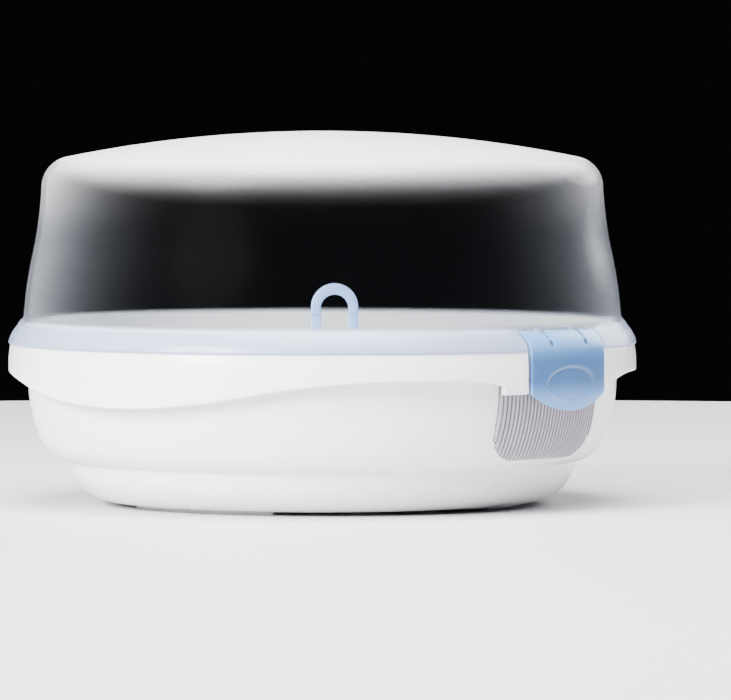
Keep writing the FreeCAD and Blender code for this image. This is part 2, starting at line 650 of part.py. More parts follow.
def make_tongs_bow():
    """The bent top of the tongs."""
    body = new_body("tongs_bow", "rack_turn")
    bow_centre = "(tongs_top - tongs_half_width)"
    inner_centre = "(tongs_top - tongs_crown - tongs_inner_half)"
    pad(body, "bow", [[
        ("tongs_offset - tongs_half_width", "tongs_flex_height"),
        ("tongs_offset - tongs_half_width", bow_centre, "tongs_half_width", 1),
        ("tongs_offset", "tongs_top", "tongs_half_width", 1),
        ("tongs_offset + tongs_half_width", bow_centre),
        ("tongs_offset + tongs_half_width", "tongs_flex_height"),
        ("tongs_offset + tongs_inner_half", "tongs_flex_height"),
        ("tongs_offset + tongs_inner_half", inner_centre, "tongs_inner_half", -1),
        ("tongs_offset", "tongs_top - tongs_crown", "tongs_inner_half", -1),
        ("tongs_offset - tongs_inner_half", inner_centre),
        ("tongs_offset - tongs_inner_half", "tongs_flex_height"),
    ]], "XZ_Plane", "tongs_depth", symmetric=True)
    return body


def make_tongs_arm(label, sign):
    """One leg of the tongs, with a toothed jaw at its tip."""
    body = new_body(label, "rack_turn")

    def across(reach):
        return f"tongs_offset + {sign}*({reach})"
    pad(body, "leg", [[
        (across("tongs_inner_half"), "tongs_flex_height"),
        (across("tongs_half_width"), "tongs_flex_height"),
        (across("tongs_half_width"), "tongs_tip + jaw_chamfer"),
        (across("tongs_half_width - jaw_chamfer"), "tongs_tip"),
        (across("jaw_half_gap"), "tongs_tip"),
        (across("jaw_half_gap"), "jaw_top"),
        (across("tongs_inner_half"), "jaw_top + jaw_blend"),
    ]], "XZ_Plane", "tongs_depth", symmetric=True)
    teeth = []
    for number in range(TEETH):
        root = f"tongs_tip + ({number} + 1/2)*tooth_pitch"
        teeth.append([
            (across("jaw_half_gap - overlap"), root),
            (across("jaw_half_gap - overlap"), f"{root} + tooth_pitch/2"),
            (across("jaw_half_gap + tooth_depth"), f"{root} + tooth_pitch/4"),
        ])
    pocket(body, "teeth", teeth, "XZ_Plane", both_ways=True)
    return body


def check_document(nodes):
    """Stop if any object failed, or a node is not one valid closed solid."""
    for thing in doc.Objects:
        if "Invalid" in thing.State or "Error" in thing.State:
            raise RuntimeError(f"{thing.Label} failed: {thing.State}")
    for node in nodes:
        shape = node.Shape
        if shape.isNull() or not shape.isValid() or len(shape.Solids) != 1:
            raise RuntimeError(f"{node.Label}: {len(shape.Solids)} solids, valid {shape.isValid()}")


def write_parts(nodes):
    """Write each node's solid to its own file."""
    os.makedirs("parts", exist_ok=True)
    for node in nodes:
        node.Shape.exportStep(f"parts/{node.Label}.step")
        print(f"{node.Label}: {node.Shape.Volume / 1000:.1f} cm3")


def main():
    """Build every node, check them all, then write them."""
    fill_sheet()
    nodes = [make_base(), make_lid(), make_rack(), make_tongs_bow()]
    for side, turn in CLIP_TURNS.items():
        nodes.append(make_grip(f"grip_pad_{side}", turn))
        nodes.append(make_clip(f"clip_{side}", turn))
    for side, sign in (("right", 1), ("left", -1)):
        nodes.append(make_tongs_arm(f"tongs_arm_{side}", sign))
    for place, turn in FOOT_TURNS.items():
        nodes.append(make_foot(f"foot_{place}", turn))
    doc.recompute()
    check_document(nodes)
    write_parts(nodes)


main()
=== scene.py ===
"""Looks of a microwave steam steriliser: a white bowl, a milky dome, blue clips, a rack and tongs.

Every size is in millimetres until a mesh is built, when it is scaled to the frame's metres.
"""

import logging
import math
from dataclasses import dataclass
from enum import Enum

import bpy
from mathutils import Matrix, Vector


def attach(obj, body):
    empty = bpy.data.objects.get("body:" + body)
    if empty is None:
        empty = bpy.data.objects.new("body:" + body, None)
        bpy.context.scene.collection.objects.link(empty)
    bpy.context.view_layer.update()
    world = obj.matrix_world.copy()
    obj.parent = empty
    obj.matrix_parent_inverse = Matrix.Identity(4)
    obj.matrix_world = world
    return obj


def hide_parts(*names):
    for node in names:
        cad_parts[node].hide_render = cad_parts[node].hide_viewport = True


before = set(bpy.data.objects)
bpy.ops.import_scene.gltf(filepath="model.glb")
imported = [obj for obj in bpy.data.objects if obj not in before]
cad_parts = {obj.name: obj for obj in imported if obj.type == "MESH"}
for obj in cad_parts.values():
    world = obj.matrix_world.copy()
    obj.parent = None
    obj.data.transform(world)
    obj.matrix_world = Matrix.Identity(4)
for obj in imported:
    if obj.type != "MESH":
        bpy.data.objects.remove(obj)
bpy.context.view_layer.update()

LOG = logging.getLogger("steriliser")
MM = 0.001
FULL_TURN = 360.0
ROUND_STEPS = 180
SMOOTH_ANGLE = 38.0
PLASTIC_IOR = 1.49
PEEL_DEPTH_MM = 0.1
CLIP_HINGE = (136.6, 76.2)
LUG_OFFSET = 12.0
Point = tuple[float, float]
Profile = list[Point]
Tree = bpy.types.NodeTree
Socket = bpy.types.NodeSocket
Colour = tuple[float, float, float, float]


class Side(Enum):
    """The two clips' places, as turns about the vertical axis in degrees."""

    RIGHT = 0.0
    LEFT = 180.0


class Way(Enum):
    """Directions in a section, as (outwards, upwards)."""

    IN = (-1.0, 0.0)
    OUT = (1.0, 0.0)
    DOWN = (0.0, -1.0)
    UP = (0.0, 1.0)

    def past(self, corner: Point) -> Point:
        """A point this way from a corner."""
        return corner[0] + self.value[0], corner[1] + self.value[1]


# ---------------------------------------------------------------- outlines


def bow(start: Point, end: Point, radius: float, side: int, count: int = 8) -> Profile:
    """Points along the short arc between two points.

    Args:
        start: where the arc begins; it is left out of the result.
        end: where the arc ends; it is the last point of the result.
        radius: the arc's radius.
        side: 1 bulges to the left of the way, -1 to the right.
        count: how many points.

    Returns:
        The points after the start.
    """
    chord = Vector(end) - Vector(start)
    left = Vector((-chord.y, chord.x)).normalized()
    drop = math.sqrt(radius * radius - chord.length_squared / 4)
    centre = (Vector(start) + Vector(end)) / 2 - left * (drop * side)
    first = math.atan2(*(Vector(start) - centre).yx)
    last = math.atan2(*(Vector(end) - centre).yx)
    sweep = (last - first + math.pi) % (2 * math.pi) - math.pi
    angles = [first + sweep * i / count for i in range(1, count + 1)]
    return [(centre.x + radius * math.cos(a), centre.y + radius * math.sin(a)) for a in angles]


def eased(before: Point, corner: Point, after: Point, radius: float, count: int = 4) -> Profile:
    """Points that round a corner.

    Args:
        before: a point on the line into the corner.
        corner: the sharp corner.
        after: a point on the line out of it.
        radius: how far from the corner the rounding starts.
        count: how many steps it takes.

    Returns:
        The points of a smooth curve from one line to the other.
    """
    here = Vector(corner)
    first = here + (Vector(before) - here).normalized() * radius
    last = here + (Vector(after) - here).normalized() * radius
    points = []
    for step in range(count + 1):
        t = step / count
        point = first * (1 - t) ** 2 + here * (2 * t * (1 - t)) + last * t ** 2
        points.append((point.x, point.y))
    return points


def square_turn(came_from: Way, corner: Point, goes: Way, radius: float, count: int = 4) -> Profile:
    """Points that round a corner between a level line and an upright one.

    Args:
        came_from: where the line into the corner lies.
        corner: the sharp corner.
        goes: where the line out of it lies.
        radius: how far from the corner the rounding starts.
        count: how many steps it takes.

    Returns:
        The points of the curve.
    """
    return eased(came_from.past(corner), corner, goes.past(corner), radius, count)


# ---------------------------------------------------------------- mesh tools


def deselect() -> None:
    """Leave edit mode with nothing selected."""
    if bpy.context.object and bpy.context.object.mode != "OBJECT":
        bpy.ops.object.mode_set(mode="OBJECT")
    bpy.ops.object.select_all(action="DESELECT")


def take(thing: bpy.types.Object) -> None:
    """Make one object the only one selected, and the active one.

    Args:
        thing: the object.
    """
    deselect()
    thing.select_set(True)
    bpy.context.view_layer.objects.active = thing


def seed_vertex(name: str, place: Vector) -> bpy.types.Object:
    """A mesh of one vertex, left open in edit mode and selected.

    Args:
        name: the new object's name.
        place: where the vertex goes, in metres.

    Returns:
        The new object.
    """
    deselect()
    bpy.ops.mesh.primitive_plane_add(size=MM)
    thing = bpy.context.object
    thing.name = name
    bpy.ops.object.mode_set(mode="EDIT")
    bpy.ops.mesh.select_all(action="SELECT")
    bpy.ops.mesh.merge(type="CENTER")
    bpy.ops.transform.translate(value=place)
    return thing


def lathe(name: str, profile: Profile, closed: bool = False, start: float = 0.0,
          sweep: float = FULL_TURN, steps: int = ROUND_STEPS) -> bpy.types.Object:
    """Turn a profile about the vertical axis.

    Args:
        name: the new object's name.
        profile: (radius, height) points; an open one starts and ends on the axis.
        closed: whether the last point joins the first.
        start: the angle where it begins, in degrees from +X.
        sweep: how far it turns, in degrees.
        steps: how many steps the turn takes.

    Returns:
        The finished closed shell, in place.
    """
    angle = math.radians(start)
    out = Vector((math.cos(angle), math.sin(angle), 0))
    places = [(out * r + Vector((0, 0, z))) * MM for r, z in profile]
    thing = seed_vertex(name, places[0])
    if closed:
        places.append(places[0])
    for here, there in zip(places, places[1:]):
        move = {"value": there - here}
        bpy.ops.mesh.extrude_region_move(TRANSFORM_OT_translate=move)
    bpy.ops.mesh.select_all(action="SELECT")
    bpy.ops.mesh.remove_doubles(threshold=1e-6)
    bpy.ops.mesh.spin(steps=steps, angle=-math.radians(sweep), center=(0, 0, 0), axis=(0, 0, 1))
    bpy.ops.mesh.select_all(action="SELECT")
    bpy.ops.mesh.remove_doubles(threshold=2e-6)
    if sweep < FULL_TURN:
        cap_open_ends()
    bpy.ops.mesh.select_all(action="SELECT")
    bpy.ops.mesh.normals_make_consistent(inside=False)
    bpy.ops.object.mode_set(mode="OBJECT")
    return thing


def cap_open_ends() -> None:
    """Fill each open loop of the mesh in edit mode with one face."""
    bpy.ops.mesh.select_all(action="DESELECT")
    bpy.ops.mesh.select_mode(type="EDGE")
    bpy.ops.mesh.select_non_manifold(extend=False, use_wire=False, use_boundary=True,
                                     use_multi_face=False, use_non_contiguous=False,
                                     use_verts=False)
    bpy.ops.mesh.edge_face_add()
    bpy.ops.mesh.select_mode(type="VERT")


def slab(name: str, outline: Profile, low: float, high: float) -> bpy.types.Object:
    """A flat outline in the XZ plane, drawn out along Y.

    Args:
        name: the new object's name.
        outline: (x, z) points of a closed outline.
        low: where it starts along Y.
        high: where it ends.

    Returns:
        The finished closed block, in place.
    """
    places = [Vector((x, low, z)) * MM for x, z in outline]
    thing = seed_vertex(name, places[0])
    for here, there in zip(places, places[1:]):
        bpy.ops.mesh.extrude_region_move(TRANSFORM_OT_translate={"value": there - here})
    bpy.ops.mesh.select_all(action="SELECT")
    bpy.ops.mesh.edge_face_add()
    move = {"value": Vector((0, (high - low) * MM, 0))}
    bpy.ops.mesh.extrude_region_move(TRANSFORM_OT_translate=move)
    bpy.ops.mesh.select_all(action="SELECT")
    bpy.ops.mesh.normals_make_consistent(inside=False)
    bpy.ops.object.mode_set(mode="OBJECT")
    return thing


def named(name: str) -> bpy.types.Object:
    """Name the primitive just added, and move its place and size into its mesh.

    Args:
        name: its new name.

    Returns:
        The primitive.
    """
    thing = bpy.context.object
    thing.name = name
    bpy.ops.object.transform_apply(location=True, rotation=True, scale=True)
    return thing


def grid(name: str, columns: int, rows: int) -> bpy.types.Object:
    """A flat grid, one metre square, for a shape to be laid on.

    Args:
        name: the new object's name.
        columns: how many columns of faces.
        rows: how many rows.

    Returns:
        The grid.
    """
    deselect()
    bpy.ops.mesh.primitive_grid_add(x_subdivisions=columns, y_subdivisions=rows, size=1)
    return named(name)


def apply_modifier(thing: bpy.types.Object, kind: str, **settings: object) -> None:
    """Add a modifier, set it and apply it.

    Args:
        thing: the object.
        kind: the modifier's type.
        settings: its settings.
    """
    take(thing)
    modifier = thing.modifiers.new(kind.title(), kind)
    for name, value in settings.items():
        setattr(modifier, name, value)
    bpy.ops.object.modifier_apply(modifier=modifier.name)


def combine(thing: bpy.types.Object, tool: bpy.types.Object, operation: str) -> None:
    """Unite a tool with an object, or cut it away, and delete the tool.

    Args:
        thing: the object that is kept.
        tool: the other object.
        operation: UNION or DIFFERENCE.
    """
    apply_modifier(thing, "BOOLEAN", operation=operation, object=tool, solver="EXACT")
    bpy.data.objects.remove(tool)


def join(things: list[bpy.types.Object]) -> bpy.types.Object:
    """Join objects into the first of them.

    Args:
        things: the objects.

    Returns:
        The first object, with the meshes of all.
    """
    take(things[0])
    for thing in things:
        thing.select_set(True)
    bpy.ops.object.join()
    return things[0]


def soften_edges(thing: bpy.types.Object, width: float, segments: int = 2,
                 angle: float = 40) -> None:
    """Round an object's sharp edges.

    Args:
        thing: the object.
        width: the bevel's width.
        segments: its steps.
        angle: the least turn, in degrees, of an edge that is rounded.
    """
    apply_modifier(thing, "BEVEL", width=width * MM, segments=segments, limit_method="ANGLE",
                   angle_limit=math.radians(angle), use_clamp_overlap=True, harden_normals=False)


def smooth(thing: bpy.types.Object, angle: float = SMOOTH_ANGLE) -> None:
    """Shade an object smooth, apart from its sharp edges.

    Args:
        thing: the object.
        angle: the least turn, in degrees, of an edge that stays sharp.
    """
    take(thing)
    bpy.ops.object.shade_smooth_by_angle(angle=math.radians(angle))


def turned_copy(thing: bpy.types.Object, name: str, degrees: float) -> bpy.types.Object:
    """A copy of an object, with its own mesh, turned about the vertical axis.

    Args:
        thing: the object to copy.
        name: the copy's name.
        degrees: how far it is turned.

    Returns:
        The copy, with its place in its mesh.
    """
    twin = thing.copy()
    twin.data = thing.data.copy()
    twin.name = name
    bpy.context.scene.collection.objects.link(twin)
    take(twin)
    twin.rotation_euler.z = math.radians(degrees)
    bpy.ops.object.transform_apply(location=True, rotation=True, scale=True)
    return twin


def merged_cad_copy(node: str, name: str) -> bpy.types.Object:
    """A copy of a CAD node with its triangles joined and its flat faces made whole.

    Args:
        node: the CAD node.
        name: the copy's name.

    Returns:
        The copy, in place.
    """
    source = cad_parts[node]
    twin = bpy.data.objects.new(name, source.data.copy())
    twin.data.materials.clear()
    bpy.context.scene.collection.objects.link(twin)
    take(twin)
    bpy.ops.mesh.customdata_custom_splitnormals_clear()
    bpy.ops.object.mode_set(mode="EDIT")
    bpy.ops.mesh.select_all(action="SELECT")
    bpy.ops.mesh.remove_doubles(threshold=1e-5)
    bpy.ops.mesh.dissolve_limited(angle_limit=math.radians(1))
    bpy.ops.object.mode_set(mode="OBJECT")
    return twin


def place(thing: bpy.types.Object, body: str, nodes: list[str], slot: str,
          material: bpy.types.Material) -> None:
    """Dress a finished piece, ride it on its body and hide the CAD nodes it stands for.

    Args:
        thing: the piece.
        body: the CAD body it moves with.
        nodes: the CAD nodes it replaces.
        slot: the record's material slot; not used.
        material: its material.
    """
    thing.data.materials.clear()
    thing.data.materials.append(material)
    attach(thing, body)
    if nodes:
        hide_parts(*nodes)
    LOG.info("%s: %d faces on %s", thing.name, len(thing.data.polygons), body)


# ---------------------------------------------------------------- finishes


def linear(colour: str) -> Colour:
    """An sRGB hex colour as linear values.

    Args:
        colour: a hash and six hex digits.

    Returns:
        Linear red, green and blue, and an alpha of 1.
    """
    values = [int(colour[i:i + 2], 16) / 255 for i in (1, 3, 5)]
    values = [v / 12.92 if v <= 0.04045 else ((v + 0.055) / 1.055) ** 2.4 for v in values]
    return (values[0], values[1], values[2], 1.0)


def add_node(tree: Tree, kind: str, inputs: dict[str, object] | None = None,
             **settings: object) -> bpy.types.Node:
    """Add a shader node.

    Args:
        tree: the material's node tree.
        kind: the node's type, without its prefix.
        inputs: values for its sockets, or other nodes' sockets to link to them.
        settings: the node's own settings.

    Returns:
        The new node.
    """
    node = tree.nodes.new(f"ShaderNode{kind}")
    for name, value in settings.items():
        setattr(node, name, value)
    for name, value in (inputs or {}).items():
        socket = node.inputs[int(name)] if name.isdigit() else node.inputs[name]
        if isinstance(value, Socket):
            tree.links.new(value, socket)
        else:
            socket.default_value = value
    return node


def new_material(name: str) -> tuple[bpy.types.Material, Tree, Socket]:
    """An empty node material.

    Args:
        name: the material's name.

    Returns:
        The material, its node tree and the socket that gives the place on the object.
    """
    made = bpy.data.materials.new(name)
    made.use_nodes = True
    made.node_tree.nodes.clear()
    spot = add_node(made.node_tree, "TexCoord").outputs["Object"]
    return made, made.node_tree, spot


def surface(tree: Tree, shader: Socket) -> None:
    """Make a shader the material's surface."""
    add_node(tree, "OutputMaterial", {"Surface": shader})


def step(tree: Tree, operation: str, first: Socket, second: object = 0.0) -> Socket:
    """One arithmetic step.

    Args:
        tree: the material's node tree.
        operation: the Math node's operation.
        first: the first value's socket.
        second: the second value, or its socket.

    Returns:
        The result's socket.
    """
    return add_node(tree, "Math", {"0": first, "1": second}, operation=operation).outputs["Value"]


def ramp(tree: Tree, value: Socket, low: float, high: float, start: object = 0.0,
         end: object = 1.0, smooth_step: bool = False) -> Socket:
    """A value spread over a range.

    Args:
        tree: the material's node tree.
        value: the value's socket.
        low: the value that gives the start.
        high: the value that gives the end.
        start: the result at the low value, or its socket.
        end: the result at the high value, or its socket.
        smooth_step: True to ease in and out.

    Returns:
        The result's socket.
    """
    inputs = {"Value": value, "From Min": low, "From Max": high, "To Min": start, "To Max": end}
    kind = "SMOOTHSTEP" if smooth_step else "LINEAR"
    return add_node(tree, "MapRange", inputs, interpolation_type=kind).outputs["Result"]


def mixed(tree: Tree, share: Socket, first: object, second: object) -> Socket:
    """A mix of two colours.

    Args:
        tree: the material's node tree.
        share: how much of the second.
        first: the first colour, or its socket.
        second: the second colour, or its socket.

    Returns:
        The result's socket.
    """
    inputs = {"0": share, "6": first, "7": second}
    return add_node(tree, "Mix", inputs, data_type="RGBA").outputs["Result"]


def along_axis(tree: Tree, spot: Socket, axis: str) -> Socket:
    """One coordinate of the place on the object."""
    return add_node(tree, "SeparateXYZ", {"Vector": spot}).outputs[axis]


def clouds(tree: Tree, spot: Socket, size: float, detail: float) -> Socket:
    """Soft noise with blots of a size in millimetres."""
    inputs = {"Vector": spot, "Scale": 1 / (size * MM), "Detail": detail}
    return add_node(tree, "TexNoise", inputs).outputs["Fac"]


def mould_skin(tree: Tree, spot: Socket, size: float, strength: float) -> Socket:
    """The faint waviness that a polished mould leaves.

    Args:
        tree: the material's node tree.
        spot: the place on the object.
        size: how wide the waves are, in millimetres.
        strength: how much they tilt the light.

    Returns:
        The socket of the tilted normal.
    """
    inputs = {"Height": clouds(tree, spot, size, 1.0), "Strength": strength,
              "Distance": PEEL_DEPTH_MM * MM}
    return add_node(tree, "Bump", inputs).outputs["Normal"]


@dataclass(frozen=True)
class MouldedPlastic:
    """Injection-moulded polypropylene: an even colour under a soft gloss, with the faint waviness
    that a polished mould leaves, and a little light soaking in at the edges."""

    name: str
    colour: str
    shade: str
    roughness: float = 0.26
    polish_low: float = 0.03
    polish_high: float = 0.05
    cloud_mm: float = 45.0
    peel_mm: float = 2.2
    peel_strength: float = 0.04
    glow: float = 0.12
    glow_mm: float = 2.5
    glow_tint: tuple[float, float, float] = (1.0, 0.9, 0.8)
    coat: float = 0.25
    coat_roughness: float = 0.08

    def material(self) -> bpy.types.Material:
        """Build the material.

        Returns:
            The material, which gives the eye a clean, slightly uneven satin shell.
        """
        made, tree, spot = new_material(self.name)
        cloud = clouds(tree, spot, self.cloud_mm, 2.0)
        skin = add_node(tree, "BsdfPrincipled", {
            "Base Color": mixed(tree, cloud, linear(self.colour), linear(self.shade)),
            "Normal": mould_skin(tree, spot, self.peel_mm, self.peel_strength),
            "Roughness": ramp(tree, cloud, 0.0, 1.0, self.roughness - self.polish_low,
                              self.roughness + self.polish_high),
            "IOR": PLASTIC_IOR, "Subsurface Weight": self.glow,
            "Subsurface Scale": self.glow_mm * MM, "Subsurface Radius": self.glow_tint,
            "Coat Weight": self.coat, "Coat Roughness": self.coat_roughness})
        surface(tree, skin.outputs["BSDF"])
        return made


@dataclass(frozen=True)
class MilkyDomePlastic:
    """Clear-grade polypropylene: thin walls are see-through face on and milky where the eye meets
    them at a slant, the crown is painted nearly white as a painted highlight from the lamps above,
    the brim is a hazy pale blue, and the lugs are painted a deep blue as painted shade for the
    clip's slots."""

    name: str = "milky_dome_polypropylene"
    wall: str = "#8E939B"
    # crown: the near-white of a painted highlight over the top of the dome
    crown: str = "#FAFAFB"
    brim: str = "#A6B4D2"
    plug: str = "#ECEDF0"
    face_on: float = 0.0008
    slanted: float = 0.5
    slant_power: float = 3.6
    # where the painted highlight on the crown begins and ends, how sharply it rises and how much it
    # covers
    crown_highlight_low: float = 122.0
    crown_highlight_high: float = 155.0
    crown_highlight_power: float = 7.0
    crown_highlight_cover: float = 0.97
    brim_low: float = 80.5
    brim_high: float = 83.6
    brim_cover: float = 0.6
    plug_cover: float = 0.7
    plug_radius: float = 131.5
    brim_radius: float = 133.0
    roughness: float = 0.22
    clear: Colour = (0.98, 0.985, 0.99, 1.0)
    gloss: float = 0.002
    # lug: painted shade colour on the lugs, for the shadow down in the clip's slots
    lug: str = "#6F93C2"
    lug_half: float = 1.5
    lug_radius: float = 132.3

    def material(self) -> bpy.types.Material:
        """Build the material.

        Returns:
            The material, which gives the eye a clear wall that fogs over towards its edges.
        """
        made, tree, spot = new_material(self.name)
        height = along_axis(tree, spot, "Z")
        # painted highlight: the dome is whitened towards its top, standing in for the light from
        # above
        up = ramp(tree, height, self.crown_highlight_low * MM, self.crown_highlight_high * MM)
        down = ramp(tree, height, self.brim_high * MM, self.brim_low * MM, smooth_step=True)
        flat = add_node(tree, "VectorMath", {"0": spot, "1": (1, 1, 0)}, operation="MULTIPLY")
        radius = add_node(tree, "VectorMath", {"0": flat.outputs["Vector"]},
                          operation="LENGTH").outputs["Value"]
        outside = ramp(tree, radius, self.plug_radius * MM, self.brim_radius * MM)
        # painted shade: the lugs are darkened to a deep blue where they sit in the clip's slots
        ear = step(tree, "MULTIPLY", self.ears(tree, spot, radius), down)
        slant = add_node(tree, "LayerWeight", {"Blend": 0.5}).outputs["Facing"]
        haze = ramp(tree, step(tree, "POWER", slant, self.slant_power), 0.0, 1.0, self.face_on,
                    self.slanted)
        rise = step(tree, "POWER", up, self.crown_highlight_power)
        low_cover = ramp(tree, outside, 0.0, 1.0, self.plug_cover, self.brim_cover)
        cover = step(tree, "MAXIMUM", step(tree, "MULTIPLY", rise, self.crown_highlight_cover),
                     step(tree, "MULTIPLY", down, low_cover))
        cover = step(tree, "MAXIMUM", step(tree, "MAXIMUM", cover, haze), ear)
        low_colour = mixed(tree, outside, linear(self.plug), linear(self.brim))
        colour = mixed(tree, down, linear(self.wall), low_colour)
        # painted highlight colour over the crown
        colour = mixed(tree, up, colour, linear(self.crown))
        # painted shade colour over the lugs
        colour = mixed(tree, ear, colour, linear(self.lug))
        milk = add_node(tree, "BsdfPrincipled", {
            "Base Color": colour, "Roughness": self.roughness, "IOR": PLASTIC_IOR})
        clear = add_node(tree, "BsdfTransparent", {"Color": self.clear})
        shine = add_node(tree, "BsdfGlossy", {"Roughness": self.roughness})
        mirror = add_node(tree, "Fresnel", {"IOR": PLASTIC_IOR}).outputs["Fac"]
        film = add_node(tree, "MixShader", {
            "0": step(tree, "MULTIPLY", mirror, self.gloss), "1": clear.outputs["BSDF"],
            "2": shine.outputs["BSDF"]})
        blend = add_node(tree, "MixShader", {
            "0": cover, "1": film.outputs["Shader"], "2": milk.outputs["BSDF"]})
        surface(tree, blend.outputs["Shader"])
        return made

    def ears(self, tree: Tree, spot: Socket, radius: Socket) -> Socket:
        """Where the lugs are, seen from above, which get the painted slot shade.

        Args:
            tree: the material's node tree.
            spot: the place on the object.
            radius: the distance from the vertical axis.

        Returns:
            A socket that is 1 over a lug and 0 elsewhere.
        """
        beside = step(tree, "ABSOLUTE", along_axis(tree, spot, "Y"))
        away = step(tree, "ABSOLUTE", step(tree, "SUBTRACT", beside, LUG_OFFSET * MM))
        near = step(tree, "LESS_THAN", away, self.lug_half * MM)
        proud = step(tree, "GREATER_THAN", radius, self.lug_radius * MM)
        return step(tree, "MULTIPLY", near, proud)


@dataclass(frozen=True)
class TintedPlastic:
    """Blue see-through polypropylene over a white wall: paler at its tongue and where it curves
    over the brim, there partly the pale brim showing through and partly a painted highlight for the
    light that falls on the upturned top, and deeper down its face."""

    name: str = "tinted_blue_polypropylene"
    pale: str = "#6795CA"
    deep: str = "#3A6497"
    low: float = 66.0
    high: float = 76.0
    foot_high: float = 60.0
    foot_low: float = 50.0
    roughness: float = 0.32
    peel_mm: float = 2.5
    peel_strength: float = 0.03
    glow: float = 0.35
    glow_mm: float = 3.0
    glow_tint: tuple[float, float, float] = (0.7, 0.85, 1.0)
    coat: float = 0.12
    coat_roughness: float = 0.1

    def material(self) -> bpy.types.Material:
        """Build the material.

        Returns:
            The material, which gives the eye a tint that is deeper down the face and paler at the
            tongue and at the top, where the paleness is partly a painted highlight.
        """
        made, tree, spot = new_material(self.name)
        height = along_axis(tree, spot, "Z")
        # paler at the top: partly the brim behind showing through, partly a painted highlight where
        # the plate faces up
        up = ramp(tree, height, self.low * MM, self.high * MM, smooth_step=True)
        down = ramp(tree, height, self.foot_high * MM, self.foot_low * MM, smooth_step=True)
        ends = step(tree, "MAXIMUM", up, down)
        skin = add_node(tree, "BsdfPrincipled", {
            "Base Color": mixed(tree, ends, linear(self.deep), linear(self.pale)),
            "Normal": mould_skin(tree, spot, self.peel_mm, self.peel_strength),
            "Roughness": self.roughness, "IOR": PLASTIC_IOR, "Subsurface Weight": self.glow,
            "Subsurface Scale": self.glow_mm * MM, "Subsurface Radius": self.glow_tint,
            "Coat Weight": self.coat, "Coat Roughness": self.coat_roughness})
        surface(tree, skin.outputs["BSDF"])
        return made


@dataclass(frozen=True)
class RibbedPlastic:
    """Grey polypropylene ribs, light on their crests and painted dark down in the grooves: a
    painted shade for the shadow that falls between the ribs."""

    name: str = "ribbed_grip_polypropylene"
    crest: str = "#A69FA9"
    groove_shade: str = "#4F4955"
    groove_shade_wave: float = -0.75
    crest_wave: float = 0.1
    pitch: float = 2.2
    roughness: float = 0.36
    coat: float = 0.1

    def material(self) -> bpy.types.Material:
        """Build the material.

        Returns:
            The material, which gives the eye a dark line down in each groove.
        """
        made, tree, spot = new_material(self.name)
        across = along_axis(tree, spot, "Y")
        wave = step(tree, "COSINE", step(tree, "MULTIPLY", across, math.tau / (self.pitch * MM)))
        # painted shade: dark down in the grooves between the ribs, light on the crests
        crest = ramp(tree, wave, self.groove_shade_wave, self.crest_wave, smooth_step=True)
        skin = add_node(tree, "BsdfPrincipled", {
            "Base Color": mixed(tree, crest, linear(self.groove_shade), linear(self.crest)),
            "Roughness": self.roughness, "IOR": PLASTIC_IOR, "Coat Weight": self.coat})
        surface(tree, skin.outputs["BSDF"])
        return made


# ---------------------------------------------------------------- the bowl


